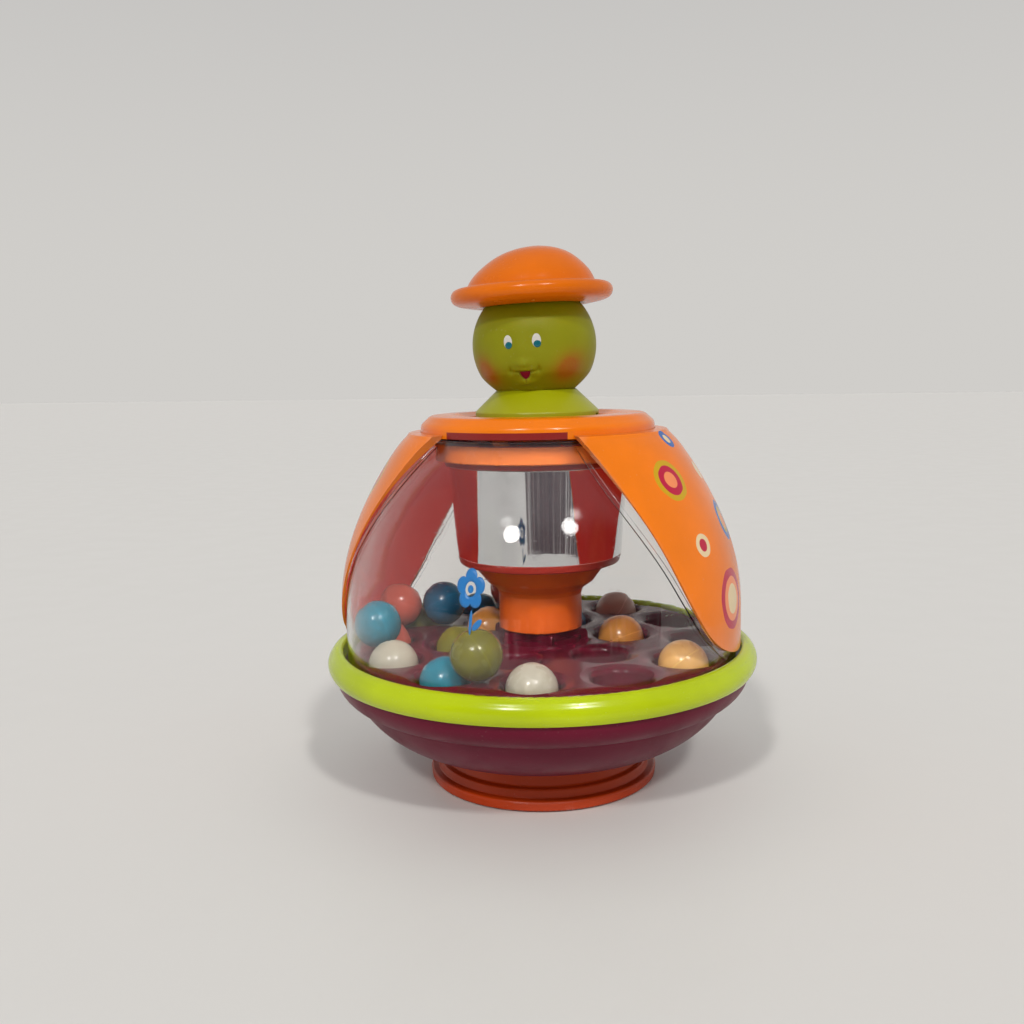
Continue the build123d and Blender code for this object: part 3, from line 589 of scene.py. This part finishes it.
def build_head():
    """A skin of rings round the face, fine in front and coarser behind."""
    angles = [FACE_SPREAD * ring / FACE_RINGS for ring in range(FACE_RINGS)]
    rest = math.pi - FACE_SPREAD
    angles += [FACE_SPREAD + rest * ring / BACK_RINGS for ring in range(BACK_RINGS + 1)]
    points = []
    blushes = []
    mouths = []
    for angle in angles:
        for segment in range(HEAD_SEGMENTS):
            swing = math.tau * segment / HEAD_SEGMENTS
            flat = math.sin(angle)
            direction = (flat * math.cos(swing), -math.cos(angle), flat * math.sin(swing))
            point, cheek, mouth = head_point(direction)
            points.append(point)
            blushes.append(cheek)
            mouths.append(mouth)
    mesh = bpy.data.meshes.new("soft_head")
    mesh.from_pydata([tuple(point) for point in points], [], rows_to_faces(len(angles), HEAD_SEGMENTS))
    for title, values in (("blush", blushes), ("mouth", mouths)):
        mesh.attributes.new(title, "FLOAT", "POINT").data.foreach_set("value", values)
    shape = bmesh.new()
    shape.from_mesh(mesh)
    bmesh.ops.remove_doubles(shape, verts=shape.verts, dist=1e-6)
    bmesh.ops.recalc_face_normals(shape, faces=shape.faces)
    shape.to_mesh(mesh)
    shape.free()
    mesh.polygons.foreach_set("use_smooth", [True] * len(mesh.polygons))
    head = bpy.data.objects.new("soft_head", mesh)
    bpy.context.scene.collection.objects.link(head)
    dress(head, slot_material["head_vinyl"])
    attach(head, "plunger")
    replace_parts(head, "head")


build_head()


def face_patch(name, centre, size, dome, base, colour, rings=10, segments=48):
    """A low painted dome that hugs the face, such as an eye; sizes in millimetres."""
    points = []
    for ring in range(rings + 1):
        share = ring / rings
        for segment in range(segments):
            swing = math.tau * segment / segments
            x = centre[0] + size[0] / 2 * share * math.cos(swing)
            z = centre[1] + size[1] / 2 * share * math.sin(swing)
            x_share = x * MM / HEAD_RADIUS
            z_share = z * MM / HEAD_RADIUS
            direction = (x_share, -math.sqrt(1 - x_share**2 - z_share**2), z_share)
            points.append(head_point(direction, base + dome * (1 - share**4))[0])
    faces = rows_to_faces(rings + 1, segments)
    material = moulded(name, colour, 0.2, 0.3, wear=0.0)
    return made_piece(name, points, faces, material, "plunger")


EYE_ASIDE = 6.5
EYE_UP = 1.1

for side, sign in (("left", -1), ("right", 1)):
    eye = (sign * EYE_ASIDE, EYE_UP)
    face_patch(f"eye_socket_line_{side}", eye, (4.9, 7.2), 0.16, -0.14, (0.10, 0.10, 0.002))
    face_patch(f"eye_white_{side}", eye, (4.2, 6.5), 0.34, -0.08, (0.72, 0.71, 0.66))
    face_patch(f"pupil_{side}", (eye[0] + 0.25, eye[1] - 1.35), (3.3, 3.4), 0.24, 0.14, (0.002, 0.14, 0.18))

# ---- hat ---------------------------------------------------------------------------------

HAT_OUTLINE = [  # (radius, height above the middle of the brim), millimetres
    (0.0, 5.9), (9.0, 4.4), (16.0, 1.2), (21.4, -3.2), (23.4, -5.4), (25.6, -5.7), (30.0, -4.9),
    (34.0, -4.3), (36.8, -3.0), (37.9, -0.2), (37.0, 2.5), (34.4, 3.8), (31.6, 3.3), (30.0, 3.5),
    (29.2, 5.6), (27.2, 9.0), (23.3, 12.9), (17.2, 17.6), (10.0, 20.2), (4.0, 21.2), (0.0, 21.4),
]
HAT_SEGMENTS = 56
CROWN_LEAN = 3.2  # how far the crown stands off centre at its full height, millimetres
CROWN_FULL_HEIGHT = 22.4
CROWN_FOOT = 5.8  # the crown is all of the outline above this height and inside this radius
CROWN_RADIUS = 31


def build_hat():
    """A round cap with a thick rolled brim and a crown that leans to one side."""
    points = []
    for radius, height in HAT_OUTLINE:
        crown = radius < CROWN_RADIUS and height > CROWN_FOOT
        lean = CROWN_LEAN * (height / CROWN_FULL_HEIGHT) ** 2 if crown else 0.0
        for segment in range(HAT_SEGMENTS):
            swing = math.tau * segment / HAT_SEGMENTS
            local = Vector((radius * math.cos(swing) + lean, radius * math.sin(swing), height))
            points.append(TILTED @ (local * MM + Vector((0, 0, BRIM_RISE))))
    faces = rows_to_faces(len(HAT_OUTLINE), HAT_SEGMENTS)
    hat = made_piece("glossy_hat", points, faces, slot_material["hat_plastic"], "plunger")
    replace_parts(subdivided(hat), "hat")


build_hat()

# ---- return spring -----------------------------------------------------------------------

SPRING_WIRE = 0.75 * MM
SPRING_RADIUS = 13.2 * MM
SPRING_TURNS = 8
STEPS_PER_TURN = 40
WIRE_SIDES = 10


def build_spring():
    """The coil that pushes the plunger back up; in the toy it shortens as the plunger goes down, but this
    coil is built at one length.
    """
    low = SPRING_LOW + SPRING_WIRE
    rise = SPRING_HIGH - SPRING_LOW - 2 * SPRING_WIRE
    steps = SPRING_TURNS * STEPS_PER_TURN
    points = []
    for step in range(steps + 1):
        swing = math.tau * step / STEPS_PER_TURN
        out = Vector((math.cos(swing), math.sin(swing), 0))
        middle = out * SPRING_RADIUS + Vector((0, 0, low + rise * step / steps))
        for side in range(WIRE_SIDES):
            turn = math.tau * side / WIRE_SIDES
            points.append(middle + (out * math.cos(turn) + Vector((0, 0, math.sin(turn)))) * SPRING_WIRE)
    faces = rows_to_faces(steps + 1, WIRE_SIDES)
    faces.append(tuple(range(WIRE_SIDES)))
    faces.append(tuple(steps * WIRE_SIDES + side for side in range(WIRE_SIDES)))
    spring = made_piece("coil_spring", points, faces, slot_material["spring_steel"], "base")
    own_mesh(spring)
    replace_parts(spring, "return_spring")


build_spring()

# ---- printed flower on the window ----------------------------------------------------------

PRINT_ANGLE = -1.4  # degrees from the front
PRINT_HEIGHT = 103.0
PRINT_LIFT = 0.06 * MM
PRINT_THICKNESS = 0.08 * MM
PRINT_BLUE = (0.02, 0.19, 0.52)
print_material = moulded("print_ink", PRINT_BLUE, 0.35, 0.0, wear=0.0)


def on_dome(across, up, lift):
    """A place on the dome's outside, in millimetres across and up from the print's centre."""
    height = (PRINT_HEIGHT + up) * MM
    guess = around(OUTSIDE, PRINT_ANGLE, height) + Vector((across * MM, 0, 0))
    inward = Vector((-guess.x, -guess.y, 0)).normalized()
    _, spot, normal, _ = nodes["dome"].ray_cast(guess, inward)
    return spot + normal * lift


def print_shape(name, edge, inner, outer_lift=PRINT_THICKNESS, rings=3, segments=60):
    """A thin printed area between an inner and an outer edge, both functions of angle."""
    points = []
    for lift in (PRINT_LIFT, PRINT_LIFT + outer_lift):
        order = range(rings + 1) if lift == PRINT_LIFT else reversed(range(rings + 1))
        for ring in order:
            share = ring / rings
            for segment in range(segments):
                swing = math.tau * segment / segments
                far = Vector(edge(swing))
                near = Vector(inner(swing))
                spot = near.lerp(far, share)
                points.append(on_dome(spot.x, spot.y, lift))
    faces = rows_to_faces(2 * (rings + 1), segments, closed_rows=True)
    return made_piece(name, points, faces, print_material, "base")


def petals(swing):
    """The flower's edge: five round petals."""
    reach = 5.6 + 2.6 * abs(math.cos(2.5 * swing)) ** 0.7
    return (reach * math.sin(swing), 4.6 + reach * math.cos(swing))


def ring_at(x, y, radius, flatten=1.0, lean=0.0):
    """An ellipse's edge as a function of angle."""
    def edge(swing):
        across = radius * math.cos(swing)
        up = radius * flatten * math.sin(swing)
        return (
            x + across * math.cos(lean) - up * math.sin(lean),
            y + across * math.sin(lean) + up * math.cos(lean),
        )
    return edge


def flower_hole(swing):
    """The open middle of the flower."""
    return (3.0 * math.sin(swing), 4.6 + 3.0 * math.cos(swing))


print_shape("window_print_petals", petals, flower_hole, segments=120)
print_shape("window_print_eye", ring_at(0, 4.6, 1.6), ring_at(0, 4.6, 0.05))
print_shape("window_print_stem", ring_at(0.4, -8.6, 5.0, 0.16, math.radians(84)), ring_at(0.4, -8.6, 0.05))
print_shape("window_print_leaf", ring_at(3.9, -9.4, 3.4, 0.42, math.radians(38)), ring_at(3.9, -9.4, 0.05))

# ---- floor, light and camera --------------------------------------------------------------

FLOOR_COLOUR = (0.78, 0.765, 0.735, 1)
FLOOR_SIZE = 12.0


def build_floor():
    """A wide pale tabletop."""
    bpy.ops.mesh.primitive_plane_add(size=FLOOR_SIZE, location=(0, 0, 0))
    floor = bpy.context.object
    floor.name = "floor"
    material, tree, surface = new_material("floor", Specular_IOR_Level=0.3)
    at = place(tree)
    tone = fade(tree, noise(tree, at, 6.0, 4.0), 0.3, 0.7, 0.0, 0.05)
    tree.links.new(blended(tree, tone, FLOOR_COLOUR, (0.70, 0.69, 0.67, 1)), surface.inputs["Base Color"])
    tree.links.new(fade(tree, noise(tree, at, 30.0, 4.0), 0.3, 0.7, 0.4, 0.5), surface.inputs["Roughness"])
    dress(floor, material)


build_floor()

ROOM_UP = (0.40, 0.40, 0.41, 1)
ROOM_SIDE = (0.63, 0.615, 0.59, 1)
ROOM_DIM = (0.06, 0.055, 0.055, 1)
DIM_TURN = 22.0  # degrees from the front
CAMERA_TURN = 16.6  # degrees from the front towards +X
CAMERA_DISTANCE = 0.5075
CAMERA_HEIGHT = 0.1955
CAMERA_DOWN = math.radians(7.70)
CAMERA_ASIDE = math.radians(1.44)
CAMERA_ROLL = math.radians(-1.21)
FOCAL_SHARE = 1.0546875  # focal length as a share of the sensor's width
SENSOR_WIDTH = 36.0


def build_room():
    """Soft even light from all round, with a dim end behind the camera that only reflections show."""
    world = bpy.data.worlds.new("room")
    world.use_nodes = True
    tree = world.node_tree
    toward = node(tree, "TexCoord").outputs["Generated"]
    rise = node(tree, "SeparateXYZ", {0: toward}).outputs[2]
    colour = blended(tree, fade(tree, rise, 0.05, 0.8), ROOM_SIDE, ROOM_UP)
    dim_end = tuple(around(1.0, DIM_TURN, 0.0))
    facing = node(tree, "VectorMath", {0: toward, 1: dim_end}, operation="DOT_PRODUCT").outputs["Value"]
    dim = maths(tree, "MULTIPLY", fade(tree, facing, 0.25, 0.6), fade(tree, rise, 0.85, 0.6))
    mirrored = maths(tree, "GREATER_THAN", node(tree, "LightPath").outputs["Glossy Depth"], 0.5)
    colour = blended(tree, maths(tree, "MULTIPLY", dim, mirrored), colour, ROOM_DIM)
    background = tree.nodes["Background"]
    tree.links.new(colour, background.inputs["Color"])
    background.inputs["Strength"].default_value = 1.0
    bpy.context.scene.world = world


build_room()

LAMPS = [(-3.4, 42.0), (40.1, 45.0)]  # angle from the front and height of each ceiling lamp, degrees
LAMP_SPREADS = [(4.4, 0.75), (9.0, 0.25)]  # each lamp's bright core and softer surround: degrees, strength
LAMP_COLOUR = (1.0, 0.985, 0.96)
LAMP_DISTANCE = 2.0


def build_lamps():
    """Two ceiling lamps in front, each a bright core and a softer surround."""
    for number, (degrees, rise) in enumerate(LAMPS, start=1):
        toward = around(math.cos(math.radians(rise)), degrees, math.sin(math.radians(rise)))
        for part, (spread, strength) in zip(("core", "surround"), LAMP_SPREADS):
            data = bpy.data.lights.new(f"ceiling_lamp_{number}_{part}", "SUN")
            data.angle = math.radians(spread)
            data.energy = strength
            data.color = LAMP_COLOUR
            lamp = bpy.data.objects.new(data.name, data)
            lamp.location = toward * LAMP_DISTANCE
            lamp.rotation_mode = "QUATERNION"
            lamp.rotation_quaternion = toward.to_track_quat("Z", "Y")
            bpy.context.scene.collection.objects.link(lamp)


build_lamps()

FLAG_RADIUS = 0.38
FLAG_HEIGHT = 0.11
FLAG_FROM = 1.0  # degrees from the front
FLAG_TO = 78.0
FLAG_STEPS = 40
FLAG_LIFT = 0.0005  # keeps the screen clear of the floor


def build_flag():
    """A low dark screen in front, which only shows as streaks in shiny surfaces."""
    points = []
    faces = []
    for step in range(FLAG_STEPS + 1):
        degrees = FLAG_FROM + (FLAG_TO - FLAG_FROM) * step / FLAG_STEPS
        points += [around(FLAG_RADIUS, degrees, FLAG_LIFT), around(FLAG_RADIUS, degrees, FLAG_HEIGHT)]
        if step:
            faces.append((2 * step - 2, 2 * step, 2 * step + 1, 2 * step - 1))
    mesh = bpy.data.meshes.new("flag")
    mesh.from_pydata([tuple(point) for point in points], [], faces)
    flag = bpy.data.objects.new("flag", mesh)
    bpy.context.scene.collection.objects.link(flag)
    material = bpy.data.materials.new("flag")
    material.use_nodes = True
    tree = material.node_tree
    tree.nodes.remove(tree.nodes["Principled BSDF"])
    at = place(tree)
    streaks = noise(tree, stretched(tree, at, (26, 26, 1.5)), 1.0, 6.0, 0.7)
    cover = fade(tree, streaks, 0.36, 0.47, 0.25, 1.0)
    bounced = node(tree, "LightPath").outputs["Glossy Depth"]
    shown = maths(tree, "MULTIPLY", cover, maths(tree, "GREATER_THAN", bounced, 0.5))
    clear = node(tree, "BsdfTransparent")
    patches = noise(tree, stretched(tree, at, (60, 60, 2)), 1.0, 3.0)
    tint = blended(tree, patches, (0.015, 0.02, 0.04, 1), (0.22, 0.17, 0.16, 1))
    dark = node(tree, "Emission", {"Color": tint})
    mixed = node(tree, "MixShader", {0: shown, 1: clear.outputs[0], 2: dark.outputs[0]})
    tree.links.new(mixed.outputs[0], tree.nodes["Material Output"].inputs["Surface"])
    dress(flag, material)
    flag.visible_camera = False
    flag.visible_diffuse = False
    flag.visible_shadow = False


build_flag()


def build_camera():
    """The camera stands in front, a little to the +X side and above the head."""
    data = bpy.data.cameras.new("camera")
    data.sensor_width = SENSOR_WIDTH
    data.lens = SENSOR_WIDTH * FOCAL_SHARE
    data.clip_start = 0.01
    camera = bpy.data.objects.new("camera", data)
    bpy.context.scene.collection.objects.link(camera)
    spot = around(CAMERA_DISTANCE, CAMERA_TURN, CAMERA_HEIGHT)
    heading = Matrix.Rotation(math.radians(CAMERA_TURN) + CAMERA_ASIDE, 4, "Z")
    pitch = Matrix.Rotation(math.pi / 2 - CAMERA_DOWN, 4, "X")
    roll = Matrix.Rotation(CAMERA_ROLL, 4, "Z")
    camera.matrix_world = Matrix.Translation(spot) @ heading @ pitch @ roll
    bpy.context.scene.camera = camera


build_camera()
bpy.context.scene.view_settings.view_transform = "Standard"
